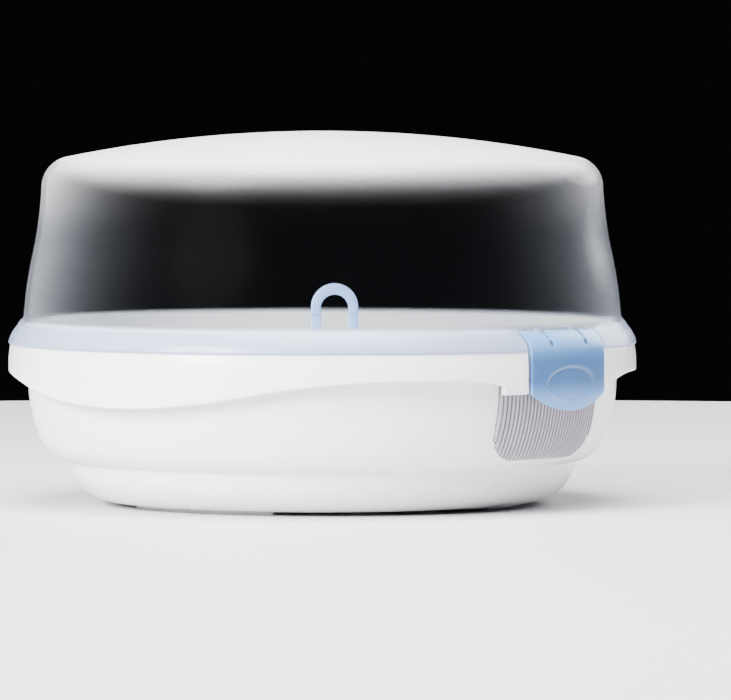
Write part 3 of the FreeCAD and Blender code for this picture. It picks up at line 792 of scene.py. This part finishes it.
@dataclass
class Bowl:
    """The two-step bowl with its shelf and the waved skirt, in millimetres."""

    foot_height: float = 1.6
    wall: float = 2.2
    floor_radius: float = 93.0
    floor_round: float = 20.0
    step_height: float = 19.8
    step_radius: float = 116.0
    shoulder: Point = (125.9, 30.0)
    shoulder_round: float = 17.2
    shoulder_lean: float = math.radians(22.0)
    side: Point = (131.0, 54.0)
    side_round: float = 63.8
    ledge: Point = (115.25, 22.2)
    collar_radius: float = 131.3
    seat_height: float = 71.4
    shelf: float = 2.2
    shelf_edge: float = 137.5
    rim_widest: float = 139.8
    rim_widest_height: float = 63.0
    rim_top: float = 139.2
    rim_round: float = 1.0
    rim_bow: float = 48.0
    skirt_wall: float = 2.0
    skirt_inner: float = 136.6
    skirt_hang: float = 66.0
    skirt_edge_round: float = 1.2
    notch_half_width: float = 26.3
    wave_low: float = 47.1
    wave_high: float = 60.0
    wave_bend: float = 66.0
    wave_reach: float = 119.0
    side_wave_start: float = 64.0
    side_wave_round: float = 110.0
    cheek_end: float = 38.5
    cheek_low: float = 53.2
    cheek_high: float = 70.4
    cheek_inner: float = 136.3
    cheek_outer: float = 139.1
    cheek_face: float = 139.0
    cheek_round: float = 0.7
    flat_radius: float = 60.0
    collar_outside: tuple[Point, ...] = ((131.5, 60.0), (133.0, 64.2))
    collar_inside: tuple[Point, ...] = ((130.6, 64.4), (129.2, 60.5), (128.85, 57.0))

    def wall_arcs(self, depth: float, outwards: bool = True) -> Profile:
        """The side of the bowl from the step to the straight collar.

        Args:
            depth: how far inside the outer face the line runs.
            outwards: True to go up, False to come back down.

        Returns:
            The points on the way.
        """
        lean = self.shoulder_lean
        bottom = (self.step_radius, self.step_height + 0.3) if depth == 0 else self.ledge
        bend = (self.shoulder[0] - depth * math.cos(lean),
                self.shoulder[1] + depth * math.sin(lean))
        top = (self.side[0] - depth, self.side[1])
        way = [bottom, *bow(bottom, bend, self.shoulder_round - depth, -1, 10)]
        way += bow(bend, top, self.side_round - depth, -1, 10)
        return way if outwards else way[::-1]

    def bowl_profile(self) -> Profile:
        """The bowl's section, from the axis under the floor round to the axis above it.

        Returns:
            Its points, as (radius, height).
        """
        low, wall = self.foot_height, self.wall
        outer = self.collar_radius + wall
        under_shelf = self.seat_height - self.shelf
        turn_in = (self.floor_radius + self.floor_round - 0.1, self.step_height)
        profile = [(0.0, low), (self.flat_radius, low), (self.floor_radius, low)]
        profile += bow(profile[-1], (turn_in[0], self.step_height - 0.7), self.floor_round, -1, 14)
        profile += eased(Way.DOWN.past(turn_in), turn_in, (self.step_radius, turn_in[1] + 0.3), 0.5)
        profile += self.wall_arcs(0)
        profile += [*self.collar_outside, (outer, 65.8), (outer, 68.0)]
        shelf, seat = (self.shelf_edge, self.seat_height), (self.collar_radius, self.seat_height)
        profile += square_turn(Way.DOWN, (outer, under_shelf), Way.OUT, 0.8)
        profile += square_turn(Way.IN, (self.shelf_edge, under_shelf), Way.UP, 0.4)
        profile += square_turn(Way.DOWN, shelf, Way.IN, 0.4)
        profile += square_turn(Way.OUT, seat, Way.DOWN, 0.6)
        profile += [(self.collar_radius, 66.2), *self.collar_inside]
        profile += self.wall_arcs(wall, outwards=False)
        inner = self.floor_radius + self.floor_round - wall
        profile += square_turn(Way.OUT, (inner, self.ledge[1]), Way.DOWN, 0.5)
        start = (inner, self.step_height)
        profile += [start, *bow(start, (self.floor_radius, low + wall),
                                self.floor_round - wall + 0.2, 1, 14)]
        return profile + [(self.flat_radius, low + wall), (0.0, low + wall)]

    def skirt_edge(self, x: float, y: float) -> float:
        """The height of the skirt's lower edge over a point in plan.

        Args:
            x: the point's place along the line through the clips.
            y: its place across it.

        Returns:
            The height.
        """
        turn = 2 * math.atan((self.wave_high - self.wave_low) / self.wave_reach)
        low_round = self.wave_bend / math.sin(turn)
        high_round = (self.wave_reach - self.wave_bend) / math.sin(turn)
        along, beside = abs(x), abs(y)
        height = self.wave_high
        if along < self.wave_bend:
            height = self.wave_low + low_round - math.sqrt(low_round ** 2 - along ** 2)
        elif along < self.wave_reach:
            short = self.wave_reach - along
            height = self.wave_high - high_round + math.sqrt(high_round ** 2 - short ** 2)
        if beside < self.side_wave_start and along > self.wave_reach:
            short = self.side_wave_start - beside
            height -= self.side_wave_round - math.sqrt(self.side_wave_round ** 2 - short ** 2)
        return height

    def skirt(self, name: str, centre: float) -> bpy.types.Object:
        """One half of the skirt, between the two clips.

        Args:
            name: the new object's name.
            centre: the angle of its middle, in degrees from +X.

        Returns:
            The half skirt, with its lower edge drawn to the wave.
        """
        top, low = self.seat_height, self.wave_low - 1
        widest, inside_radius = self.rim_widest, self.rim_widest - self.skirt_wall
        start = (self.rim_top - self.rim_round, top)
        outer = [start, *bow(start, (self.rim_top, top - self.rim_round), self.rim_round, 1, 4)]
        outer += bow(outer[-1], (widest, self.rim_widest_height), self.rim_bow, 1, 6)
        outer += [(widest, z) for z in (59.0, 55.0, 51.0)]
        edge = square_turn(Way.UP, (widest, low), Way.IN, self.skirt_edge_round, 5)
        inside = square_turn(Way.OUT, (inside_radius, low), Way.UP, 0.5)
        back = [(inside_radius, z) for z in (51.0, 57.0, 63.0)]
        profile = [(self.skirt_inner, top), *outer, *edge, *inside, *back,
                   (self.rim_top - 1.95, top - self.shelf), (self.skirt_inner, top - self.shelf)]
        gap = math.degrees(math.asin(self.notch_half_width / self.rim_widest))
        half = 90 - gap
        thing = lathe(name, profile, closed=True, start=centre - half, sweep=2 * half, steps=150)
        hang = self.skirt_hang
        for vertex in thing.data.vertices:
            x, y, z = vertex.co / MM
            if z < hang:
                share = (hang - self.skirt_edge(x, y)) / (hang - low)
                vertex.co.z = (hang - (hang - z) * share) * MM
        return thing

    def cheek(self, name: str, turn: float) -> bpy.types.Object:
        """A thick, slightly set-back end of the skirt, beside a clip.

        Args:
            name: the new object's name.
            turn: which corner, in degrees from the one at the front right.

        Returns:
            The cheek, with its edges rounded.
        """
        inner, outer = self.cheek_inner, self.cheek_outer
        near, far = (math.degrees(math.asin(reach / self.cheek_face))
                     for reach in (self.notch_half_width, self.cheek_end))
        profile = [(inner, self.cheek_low), (outer, self.cheek_low), (outer, self.cheek_high),
                   (inner, self.cheek_high)]
        start = turn + near if turn in (0.0, 180.0) else turn - far
        thing = lathe(name, profile, closed=True, start=start, sweep=far - near, steps=8)
        soften_edges(thing, self.cheek_round, 3)
        return thing

    def build(self, material: bpy.types.Material) -> None:
        """Make the bowl with its skirt as one shell, and place it.

        Args:
            material: its material.
        """
        shell = lathe("bowl_shell", self.bowl_profile())
        skirts = [self.skirt("skirt_front", -90.0), self.skirt("skirt_rear", 90.0)]
        for half in skirts:
            soften_edges(half, 0.5, 2, 60)
            combine(shell, half, "UNION")
        turns = (0.0, 360.0, 180.0, 540.0)
        corners = [self.cheek(f"cheek_{i}", turn) for i, turn in enumerate(turns)]
        combine(shell, join(corners), "UNION")
        smooth(shell)
        place(shell, "bowl", ["base"], "white_pp", material)


# ---------------------------------------------------------------- the lid


@dataclass
class Lid:
    """The dome, its flared brim, the plug under it and the lugs for the clips, in millimetres."""

    height: float = 166.0
    wall: float = 2.0
    crown_lean: float = math.radians(10.4)
    corner: Point = (111.2, 141.0)
    corner_round: float = 13.8
    top_lean: float = math.radians(3.0)
    waist: Point = (128.9, 112.0)
    waist_lean: float = math.radians(12.5)
    hollow_round: float = 181.0
    belly_round: float = 195.0
    foot: Point = (133.1, 83.4)
    foot_lean: float = math.radians(4.0)
    crease: Point = (135.5, 80.4)
    brim: Point = (139.9, 72.3)
    brim_round: float = 16.0
    seat_height: float = 71.4
    plug_radius: float = 130.8
    plug_bottom: float = 67.5
    root_height: float = 80.9
    pocket_half_width: float = 26.3
    pocket_ceiling: float = 81.4
    pocket_face: float = 137.0
    pocket_out: float = 145.0
    brow_reach: float = 14.0
    brow_low: float = 73.5
    brow_out: float = 146.0
    tool_low: float = 60.0
    lug_thickness: float = 2.4
    lug_shoulder: Point = (131.9, 78.7)
    lug_bow: float = 9.8

    def corner_at(self, angle: float, depth: float) -> Point:
        """A point on the dome's round corner.

        Args:
            angle: the way it faces, up from level.
            depth: how far inside the outer face it is.

        Returns:
            The point.
        """
        reach = self.corner_round - depth
        return self.corner[0] + reach * math.cos(angle), self.corner[1] + reach * math.sin(angle)

    def crown(self, depth: float) -> Profile:
        """The crown from near the axis out to the round corner.

        Args:
            depth: how far inside the outer face the line runs.

        Returns:
            The points on the way.
        """
        top = self.height - depth
        edge = self.corner_at(math.pi / 2 - self.crown_lean, depth)
        fall = top - edge[1]
        radius = (edge[0] ** 2 + fall ** 2) / (2 * fall)
        reaches = [edge[0] * i / 16 for i in range(1, 17)]
        return [(r, top - radius + math.sqrt(radius ** 2 - r ** 2)) for r in reaches]

    def side(self, depth: float) -> Profile:
        """The dome from the round corner down to the foot of its wall.

        Args:
            depth: how far inside the outer face the line runs.

        Returns:
            The points on the way.
        """
        first = self.corner_at(math.pi / 2 - self.crown_lean, depth)
        last = self.corner_at(self.top_lean, depth)
        points = bow(first, last, self.corner_round - depth, 1, 16)
        waist = self.inside(self.waist, self.waist_lean, depth)
        foot = self.inside(self.foot, self.foot_lean, depth)
        points += bow(last, waist, self.hollow_round + depth, -1, 12)
        points += bow(waist, foot, self.belly_round - depth, 1, 12)
        return points

    @staticmethod
    def inside(point: Point, lean: float, depth: float) -> Point:
        """A point a depth inside the wall."""
        return point[0] - depth * math.cos(lean), point[1] - depth * math.sin(lean)

    def profile(self) -> Profile:
        """The lid's section, from the axis over the crown and back under it.

        Returns:
            Its points, as (radius, height).
        """
        wall, seat = self.wall, self.seat_height
        points = [(0.0, self.height), *self.crown(0), *self.side(0)]
        points += eased(points[-2], self.crease, self.brim, 0.8)
        points += bow(points[-1], self.brim, self.brim_round, 1, 8)
        lip = (self.brim[0] - 0.5, seat)
        points += eased(self.brim, lip, Way.IN.past(lip), 0.5)
        points += [(self.brim[0] - wall, seat)]
        under = (self.crease[0] - 0.8 * wall, self.crease[1] - 0.7 * wall)
        points += bow(points[-1], under, self.brim_round - wall, -1, 6)
        root, inner = (self.plug_radius, self.root_height), self.plug_radius - wall
        points += eased(under, root, Way.DOWN.past(root), 0.7)
        points += square_turn(Way.UP, (self.plug_radius, self.plug_bottom), Way.IN, 0.5)
        points += square_turn(Way.OUT, (inner, self.plug_bottom), Way.UP, 0.5)
        points += [(inner, 76.0), (inner, self.foot[1] - wall)]
        points += [*self.side(wall)[::-1], self.corner_at(math.pi / 2 - self.crown_lean, wall)]
        return points + [*self.crown(wall)[::-1][1:], (0.0, self.height - wall)]

    def brow_tool(self, name: str, turn: float) -> bpy.types.Object:
        """The block that cuts the brim's top away in a curve down to each side of a clip.

        Args:
            name: the new object's name.
            turn: the clip's place, in degrees from +X.

        Returns:
            The block.
        """
        inner, low, high = self.foot[0] + 0.05, self.tool_low, self.foot[1] + 0.8
        profile = [(inner, low), (self.brow_out, low), (self.brow_out, high), (inner, high)]
        reach = self.pocket_half_width + self.brow_reach
        half = math.degrees(math.asin(reach / self.pocket_face))
        tool = lathe(name, profile, closed=True, start=turn - half, sweep=2 * half, steps=120)
        for vertex in tool.data.vertices:
            beside = abs(vertex.co.y) / MM - self.pocket_half_width
            if vertex.co.z < 70 * MM and beside > 0:
                t = 1 - min(1.0, beside / self.brow_reach)
                rise = math.sqrt(max(0.0, 1 - t * t))
                vertex.co.z = (self.brow_low + (self.foot[1] + 0.4 - self.brow_low) * rise) * MM
        return tool

    def pocket_tool(self, name: str, turn: float) -> bpy.types.Object:
        """The block that cuts a clip's pocket in the brim.

        Args:
            name: the new object's name.
            turn: the clip's place, in degrees from +X.

        Returns:
            The block.
        """
        floor = self.plug_radius - 0.1
        low, high, out = self.tool_low, self.pocket_ceiling, self.pocket_out
        profile = [(floor, low), (out, low), (out, high), (floor, high)]
        half = math.degrees(math.asin(self.pocket_half_width / self.pocket_face))
        return lathe(name, profile, closed=True, start=turn - half, sweep=2 * half, steps=24)

    def lug(self, name: str, offset: float) -> bpy.types.Object:
        """One ear that holds a clip's pin.

        Args:
            name: the new object's name.
            offset: how far beside the clip's middle it stands.

        Returns:
            The ear.
        """
        x, z = CLIP_HINGE
        root, top = self.plug_radius - 1.4, self.pocket_ceiling + 0.4
        shoulder, nose, heel = self.lug_shoulder, (x, z - 0.8), (x - 0.8, z - 2.1)
        outline = [(root, top), (131.5, top), shoulder, *bow(shoulder, nose, self.lug_bow, 1, 8)]
        outline += [heel, (root, heel[1])]
        half = self.lug_thickness / 2
        return slab(name, outline, offset - half, offset + half)

    def build(self, material: bpy.types.Material) -> None:
        """Make the lid as one shell, and place it.

        Args:
            material: its material.
        """
        shell = lathe("lid_dome", self.profile())
        for side in Side:
            combine(shell, self.pocket_tool("pocket_tool", side.value), "DIFFERENCE")
            combine(shell, self.brow_tool("brow_tool", side.value), "DIFFERENCE")
        lugs = [self.lug(f"lug_{i}", offset) for i, offset in enumerate((LUG_OFFSET, -LUG_OFFSET))]
        lugs += [turned_copy(lug, f"{lug.name}_left", Side.LEFT.value) for lug in list(lugs)]
        combine(shell, join(lugs), "UNION")
        smooth(shell)
        place(shell, "lid", ["lid"], "clear_pp", material)


# ---------------------------------------------------------------- the clips


@dataclass
class Clip:
    """A bowed plate with a thumb oval, two slots for the lid's lugs, and pins."""

    half_width: float = 25.4
    face: float = 141.0
    thickness: float = 2.0
    side_bottom: float = 53.2
    tip: float = 45.4
    tip_bow: float = 60.0
    top: Point = (133.75, 80.35)
    top_bow: float = 12.0
    oval_centre: float = 57.0
    oval_half_width: float = 17.7
    oval_half_height: float = 8.1
    dish_depth: float = 0.75
    dish_slope: float = 0.14
    slot_width: float = 3.0
    slot_length: float = 16.0
    slot_middle: Point = (137.0, 81.7)
    edge_round: float = 0.45
    pin_radius: float = 1.0
    pin_overhang: float = 0.4
    pin_edge: float = 0.2
    columns: int = 104
    rows: int = 90

    def spine(self) -> Profile:
        """The plate's outer line.

        Returns:
            Its points as (radius, height), from its top edge down to its tip.
        """
        bend = (self.face - 0.4, 72.0)
        line = [self.top, *bow(self.top, bend, self.top_bow, 1, 24)]
        line += [(self.face - 0.1, 69.5), (self.face, 67.0)]
        line += [(self.face, 67.0 - 0.5 * i) for i in range(1, 31)]
        line += bow(line[-1], (self.face - 1.0, self.tip), self.tip_bow, 1, 14)
        return line

    def reach(self, height: float) -> float:
        """Half the plate's width: straight, then a round tongue.

        Args:
            height: where it is measured.

        Returns:
            The half width.
        """
        if height >= self.side_bottom:
            return self.half_width
        drop = self.side_bottom - self.tip
        radius = (self.half_width ** 2 + drop ** 2) / (2 * drop)
        centre = self.tip + radius
        return math.sqrt(max(0.0, radius ** 2 - (centre - height) ** 2))

    def relief(self, y: float, height: float) -> float:
        """How far the thumb oval sinks the face.

        Args:
            y: the point's place across the plate.
            height: its height.

        Returns:
            The depth.
        """
        upwards = (height - self.oval_centre) / self.oval_half_height
        span = math.hypot(y / self.oval_half_width, upwards)
        edge = min(1.0, max(0.0, (1.0 - span) / self.dish_slope))
        return self.dish_depth * edge * edge * (3 - 2 * edge)

    def plate(self, name: str) -> bpy.types.Object:
        """The plate with its thumb oval, before its slots are cut.

        Args:
            name: the new object's name.

        Returns:
            The plate.
        """
        line = self.spine()
        lengths = [0.0]
        for here, there in zip(line, line[1:]):
            lengths.append(lengths[-1] + math.dist(here, there))
        thing = grid(name, self.columns, self.rows)
        for vertex in thing.data.vertices:
            across, down = vertex.co.x * 2, 0.5 - vertex.co.y
            radius, height = self.along(line, lengths, down * lengths[-1])
            y = across * max(self.reach(height), 0.4)
            radius -= self.relief(y, height)
            vertex.co = Vector((math.sqrt(radius ** 2 - y ** 2), y, height)) * MM
        apply_modifier(thing, "SOLIDIFY", thickness=self.thickness * MM, offset=-1.0,
                       use_even_offset=True)
        take(thing)
        bpy.ops.object.mode_set(mode="EDIT")
        bpy.ops.mesh.select_all(action="SELECT")
        bpy.ops.mesh.remove_doubles(threshold=5e-6)
        bpy.ops.mesh.normals_make_consistent(inside=False)
        bpy.ops.object.mode_set(mode="OBJECT")
        return thing

    @staticmethod
    def along(line: Profile, lengths: list[float], distance: float) -> Point:
        """A point on a line.

        Args:
            line: the line.
            lengths: how far along it each of its points is.
            distance: how far along it the wanted point is.

        Returns:
            The point.
        """
        for i in range(1, len(line)):
            if distance <= lengths[i] + 1e-9:
                share = (distance - lengths[i - 1]) / (lengths[i] - lengths[i - 1])
                a, b = line[i - 1], line[i]
                return a[0] + (b[0] - a[0]) * share, a[1] + (b[1] - a[1]) * share
        return line[-1]

    def slot_tool(self, name: str, offset: float) -> bpy.types.Object:
        """The block that cuts one slot.

        Args:
            name: the new object's name.
            offset: how far beside the clip's middle it stands.

        Returns:
            The block.
        """
        deselect()
        radius, height = self.slot_middle
        size = Vector((self.slot_length, self.slot_width, self.slot_length)) * MM
        bpy.ops.mesh.primitive_cube_add(size=1, location=Vector((radius, offset, height)) * MM,
                                        scale=size)
        return named(name)

    def pin(self, name: str, middle: float) -> bpy.types.Object:
        """A round pin on the hinge line.

        Args:
            name: the new object's name.
            middle: its middle, beside the clip's middle.

        Returns:
            The pin, with its edges rounded.
        """
        deselect()
        length = self.slot_width + 2 * self.pin_overhang
        spot = Vector((CLIP_HINGE[0], middle, CLIP_HINGE[1])) * MM
        bpy.ops.mesh.primitive_cylinder_add(vertices=28, radius=self.pin_radius * MM,
                                            depth=length * MM, location=spot,
                                            rotation=(math.pi / 2, 0, 0))
        thing = named(name)
        soften_edges(thing, self.pin_edge)
        return thing

    def build(self, material: bpy.types.Material) -> None:
        """Make the right clip, copy it to the left, and place both.

        Args:
            material: their material.
        """
        clip = self.plate("side_clip_right")
        offsets = (LUG_OFFSET, -LUG_OFFSET)
        slots = [self.slot_tool(f"slot_{i}", offset) for i, offset in enumerate(offsets)]
        combine(clip, join(slots), "DIFFERENCE")
        soften_edges(clip, self.edge_round, 2, 50)
        clip = join([clip, *(self.pin("pin", offset) for offset in offsets)])
        smooth(clip)
        twin = turned_copy(clip, "side_clip_left", Side.LEFT.value)
        place(clip, "clip_right", ["clip_right"], "clip_blue", material)
        place(twin, "clip_left", ["clip_left"], "clip_blue", material)


# ---------------------------------------------------------------- grips, feet


@dataclass
class GripPad:
    """A ribbed finger pad on the bowl under each clip."""

    half_width: float = 33.9
    top: float = 60.0
    bottom: float = 24.6
    corner: float = 15.0
    floor: float = 0.45
    proud: float = 1.3
    thickness: float = 1.5
    pitch: float = 2.2
    rib_foot: float = 0.22
    rib_rise: float = 0.38
    columns: int = 340
    rows: int = 44

    def rib(self, y: float) -> float:
        """How proud the pad stands: flat-topped ribs with round shoulders.

        Args:
            y: the place across it.

        Returns:
            The height over the bowl.
        """
        wave = 0.5 + 0.5 * math.cos(math.tau * y / self.pitch)
        share = min(1.0, max(0.0, (wave - self.rib_foot) / self.rib_rise))
        return self.floor + (self.proud - self.floor) * share * share * (3 - 2 * share)

    def low_edge(self, y: float) -> float:
        """The pad's lower edge: straight with round corners.

        Args:
            y: the place across it.

        Returns:
            The height.
        """
        short = max(0.0, abs(y) - (self.half_width - self.corner))
        return self.bottom + self.corner - math.sqrt(max(0.0, self.corner ** 2 - short ** 2))

    def sheet(self, name: str, wall: Profile) -> bpy.types.Object:
        """The ribbed pad, laid on the bowl's side column by column.

        Args:
            name: the new object's name.
            wall: the bowl's outer line, upwards.

        Returns:
            The pad with its thickness.
        """
        sheet = grid(name, self.columns, self.rows)
        for vertex in sheet.data.vertices:
            y = vertex.co.x * 2 * self.half_width
            height = self.top - (self.top - self.low_edge(y)) * (0.5 - vertex.co.y)
            radius, lean = self.bowl_at(wall, height)
            out = self.rib(y)
            across = radius + out * math.cos(lean)
            place_at = (math.sqrt(across ** 2 - y ** 2), y, height - out * math.sin(lean))
            vertex.co = Vector(place_at) * MM
        apply_modifier(sheet, "SOLIDIFY", thickness=self.thickness * MM, offset=-1.0)
        return sheet

    def build(self, bowl: Bowl, material: bpy.types.Material) -> None:
        """Make the right pad, copy it to the left, and place both.

        Args:
            bowl: the bowl that they lie on.
            material: their material.
        """
        wall = [(113.5, 20.0), *bowl.wall_arcs(0), (bowl.side[0] + 0.7, self.top + 1)]
        pad = self.sheet("ribbed_grip_right", wall)
        smooth(pad, 50)
        twin = turned_copy(pad, "ribbed_grip_left", Side.LEFT.value)
        place(pad, "bowl", ["grip_pad_right"], "grip_grey", material)
        place(twin, "bowl", ["grip_pad_left"], "grip_grey", material)

    @staticmethod
    def bowl_at(wall: Profile, height: float) -> tuple[float, float]:
        """The bowl's side at a height.

        Args:
            wall: its outer line, upwards.
            height: the height.

        Returns:
            Its radius and how far it leans out.
        """
        for low, high in zip(wall, wall[1:]):
            if low[1] <= height <= high[1]:
                share = (height - low[1]) / (high[1] - low[1])
                lean = math.atan2(high[0] - low[0], high[1] - low[1])
                return low[0] + (high[0] - low[0]) * share, lean
        return wall[-1][0], 0.0


@dataclass
class Feet:
    """Three low arc pads under the floor."""

    inner: float = 74.0
    outer: float = 90.0
    height: float = 1.6
    sweep: float = 52.0
    edge_round: float = 0.35

    def build(self, material: bpy.types.Material) -> None:
        """Make one foot, copy it round, and place all three.

        Args:
            material: their material.
        """
        profile = [(self.inner, 0.0), (self.outer, 0.0), (self.outer, self.height),
                   (self.inner, self.height)]
        front = lathe("arc_foot_front", profile, closed=True, start=-90 - self.sweep / 2,
                      sweep=self.sweep, steps=40)
        soften_edges(front, self.edge_round)
        smooth(front, 35)
        feet = [front]
        for name, turn in (("rear_right", 120.0), ("rear_left", 240.0)):
            feet.append(turned_copy(front, f"arc_foot_{name}", turn))
        for foot in feet:
            node = foot.name.replace("arc_", "")
            place(foot, "bowl", [node], "foot_white", material)


# ---------------------------------------------------------------- rack, tongs


@dataclass
class Insides:
    """The loose rack and the tongs that stand in it, finished from their CAD shapes."""

    rack_edge: float = 0.35
    bow_edge: float = 0.9
    arm_edge: float = 0.4

    def build(self, rack_material: bpy.types.Material, tongs_material: bpy.types.Material) -> None:
        """Finish the rack and the three parts of the tongs, and place them.

        Args:
            rack_material: the rack's material.
            tongs_material: the tongs' material.
        """
        rack = merged_cad_copy("rack", "slotted_rack")
        soften_edges(rack, self.rack_edge, 2, 45)
        smooth(rack, 35)
        place(rack, "rack", ["rack"], "rack_white", rack_material)
        for node, body in (("tongs_bow", "tongs"), ("tongs_arm_right", "tongs_arm_right"),
                           ("tongs_arm_left", "tongs_arm_left")):
            part = merged_cad_copy(node, f"moulded_{node}")
            soften_edges(part, self.bow_edge if node == "tongs_bow" else self.arm_edge, 3, 60)
            smooth(part, 35)
            place(part, body, [node], "tongs_blue", tongs_material)


# ---------------------------------------------------------------- stage


@dataclass
class Studio:
    """A pale round table top, soft lamps and the camera."""

    camera_azimuth: float = math.radians(39.7)
    camera_distance: float = 3.0
    camera_height: float = 0.185
    lens_mm: float = 331.4
    aim_right: float = 0.0192
    aim_height: float = 0.0683
    table_radius: float = 1.0

    def lamp(self, name: str, place_at: Vector, size: float, watts: float, colour: str,
             aim: Vector = Vector((0, 0, 0.08))) -> None:
        """One soft round lamp aimed at the object.

        Args:
            name: the lamp's name.
            place_at: where it stands.
            size: how wide it is, in metres.
            watts: its power.
            colour: its sRGB hex colour.
            aim: what it points at.
        """
        data = bpy.data.lights.new(name, "AREA")
        data.shape = "DISK"
        data.size = size
        data.energy = watts
        data.color = linear(colour)[:3]
        lamp = bpy.data.objects.new(name, data)
        bpy.context.scene.collection.objects.link(lamp)
        lamp.location = place_at
        lamp.rotation_euler = (aim - place_at).to_track_quat("-Z", "Y").to_euler()

    def build(self) -> None:
        """Set the table, the lamps, the backdrop and the camera."""
        deselect()
        bpy.ops.mesh.primitive_cylinder_add(vertices=160, radius=self.table_radius, depth=0.01,
                                            location=(0, 0, -0.005))
        table = named("table_top")
        finish = MouldedPlastic("table_laminate", "#D6D6D8", "#D1D1D4", roughness=0.5, glow=0.0,
                                coat=0.0)
        table.data.materials.append(finish.material())
        azimuth = self.camera_azimuth
        right = Vector((math.cos(azimuth), math.sin(azimuth), 0))
        back = Vector((math.sin(azimuth), -math.cos(azimuth), 0))
        up = Vector((0, 0, 1))
        self.lamp("key_lamp", back * 1.5 - right * 1.5 + up * 1.0, 1.3, 235, "#FFFDFA")
        self.lamp("fill_lamp", back * 1.2 + right * 1.2 + up * 1.7, 1.2, 10, "#F6F8FF")
        self.lamp("top_lamp", up * 1.7 + back * 0.5, 1.6, 140, "#FFFFFF")
        self.lamp("rear_lamp", up * 0.9 - back * 1.6 + right * 1.3, 1.4, 40, "#FFFFFF")
        world = bpy.data.worlds.new("dark_room")
        bpy.context.scene.world = world
        world.use_nodes = True
        sky = world.node_tree.nodes["Background"]
        sky.inputs["Color"].default_value = linear("#08080A")
        data = bpy.data.cameras.new("camera")
        data.lens = self.lens_mm
        data.sensor_width = 36.0
        data.clip_end = 50.0
        camera = bpy.data.objects.new("camera", data)
        bpy.context.scene.collection.objects.link(camera)
        camera.location = back * self.camera_distance + up * self.camera_height
        aim = right * self.aim_right + up * self.aim_height
        camera.rotation_euler = (aim - camera.location).to_track_quat("-Z", "Y").to_euler()
        bpy.context.scene.camera = camera


def main() -> None:
    """Build every sub-assembly, then the stage."""
    logging.basicConfig(level=logging.INFO, format="%(message)s")
    white = MouldedPlastic("white_polypropylene", "#F4F4F5", "#F0F0F2").material()
    bowl = Bowl()
    bowl.build(white)
    Feet().build(white)
    GripPad().build(bowl, RibbedPlastic().material())
    Lid().build(MilkyDomePlastic().material())
    Clip().build(TintedPlastic().material())
    rack = MouldedPlastic("rack_polypropylene", "#EEF0F3", "#EAECF0", roughness=0.32)
    tongs = MouldedPlastic("pale_blue_tongs_plastic", "#9DBFF8", "#98BAF5", roughness=0.3,
                           glow=0.25)
    Insides().build(rack.material(), tongs.material())
    Studio().build()


if __name__ == "__main__":
    main()
